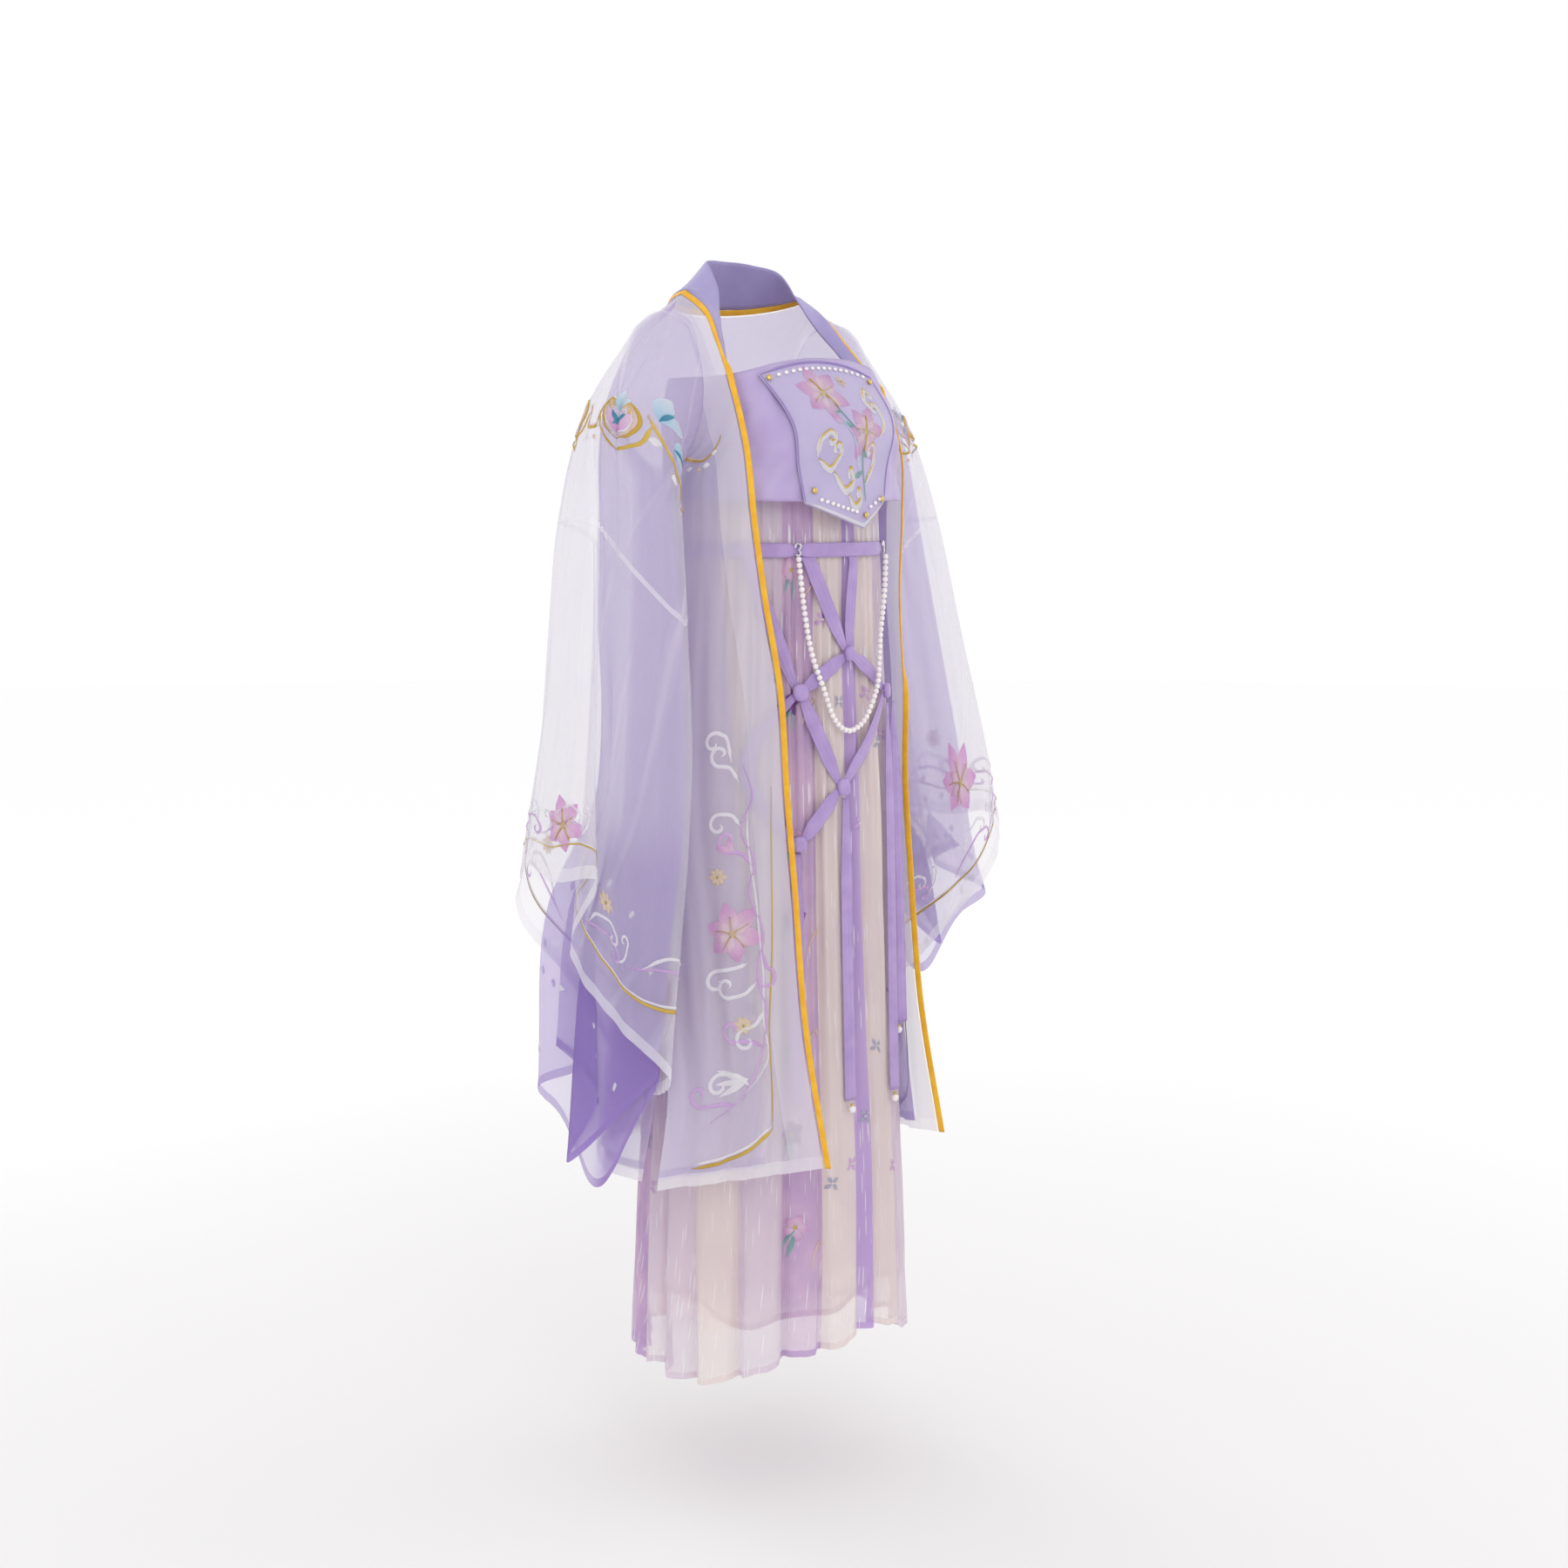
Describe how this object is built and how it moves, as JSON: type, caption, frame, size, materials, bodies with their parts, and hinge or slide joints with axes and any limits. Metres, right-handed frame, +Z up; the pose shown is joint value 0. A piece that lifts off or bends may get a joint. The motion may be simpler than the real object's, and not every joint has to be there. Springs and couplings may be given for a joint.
{
  "type": "hanfu robe set",
  "caption": "Sheer wide-sleeved robe with lining, worn over a chest piece and pleated skirt with ribbon belt, ribbon net and pearl strand.",
  "frame": {"origin": "middle of the neck base, 1.50 m above the floor the wearer stands on, where the shoulders carry the robe", "axes": "+Z up along the wearer, -Y towards the wearer's front, +X towards the wearer's left"},
  "size_m": [0.6587, 0.3902, 1.4189],
  "materials": {
    "organza": "sheer white silk organza",
    "lining": "translucent lavender lining",
    "gold_binding": "gold satin binding",
    "collar": "lavender collar cloth",
    "satin": "lavender satin",
    "panel": "embroidered blue-lavender cloth",
    "stud": "small polished studs",
    "silver": "bright bent wire",
    "pearl": "imitation pearl",
    "ribbon": "folded lavender ribbon",
    "skirt_lining": "thin lilac lining",
    "skirt_cream": "cream crinkled gauze with silver thread",
    "skirt_lilac": "lilac crinkled gauze with silver thread",
    "skirt_lavender": "deep lavender gauze",
    "skirt_purple": "purple printed gauze with silver thread"
  },
  "bodies": {
    "root": {"belt": "ribbon", "chest_panel": "panel", "chest_wrap": "satin", "collar_band": "collar", "gold_piping_left": "gold_binding", "gold_piping_right": "gold_binding", "hook_left": "silver", "hook_right": "silver", "lining_back": "lining", "lining_front_left": "lining", "lining_front_right": "lining", "lining_sleeve_left": "lining", "lining_sleeve_right": "lining", "net_belt_k1_left": "ribbon", "net_belt_k1_right": "ribbon", "net_belt_k2": "ribbon", "net_k1": "ribbon", "net_k1_k2": "ribbon", "net_k1_k3": "ribbon", "net_k2": "ribbon", "net_k2_k4": "ribbon", "net_k2_k5_side": "ribbon", "net_k3": "ribbon", "net_k3_k4": "ribbon", "net_k4": "ribbon", "net_k4_k5": "ribbon", "net_k5": "ribbon", "net_tail_k3": "ribbon", "net_tail_k3_back": "ribbon", "net_tail_k4": "ribbon", "net_tail_k5": "ribbon", "pearl_strand": "pearl", "pearl_tail_k3": "pearl", "pearl_tail_k3_back": "pearl", "pearl_tail_k4": "pearl", "robe_back": "organza", "robe_front_left": "organza", "robe_front_right": "organza", "skirt_cream_back": "skirt_cream", "skirt_cream_front": "skirt_cream", "skirt_cream_left": "skirt_cream", "skirt_cream_middle": "skirt_cream", "skirt_cream_right": "skirt_cream", "skirt_lavender_front": "skirt_lavender", "skirt_lilac_front": "skirt_lilac", "skirt_lilac_left": "skirt_lilac", "skirt_lilac_right": "skirt_lilac", "skirt_lining": "skirt_lining", "skirt_printed_front": "skirt_purple", "skirt_purple_right": "skirt_purple", "sleeve_lower_left": "organza", "sleeve_lower_right": "organza", "sleeve_upper_left": "organza", "sleeve_upper_right": "organza", "stud_1": "stud", "stud_2": "stud", "stud_3": "stud", "stud_4": "stud", "stud_5": "stud"}
  },
  "joints": []
}
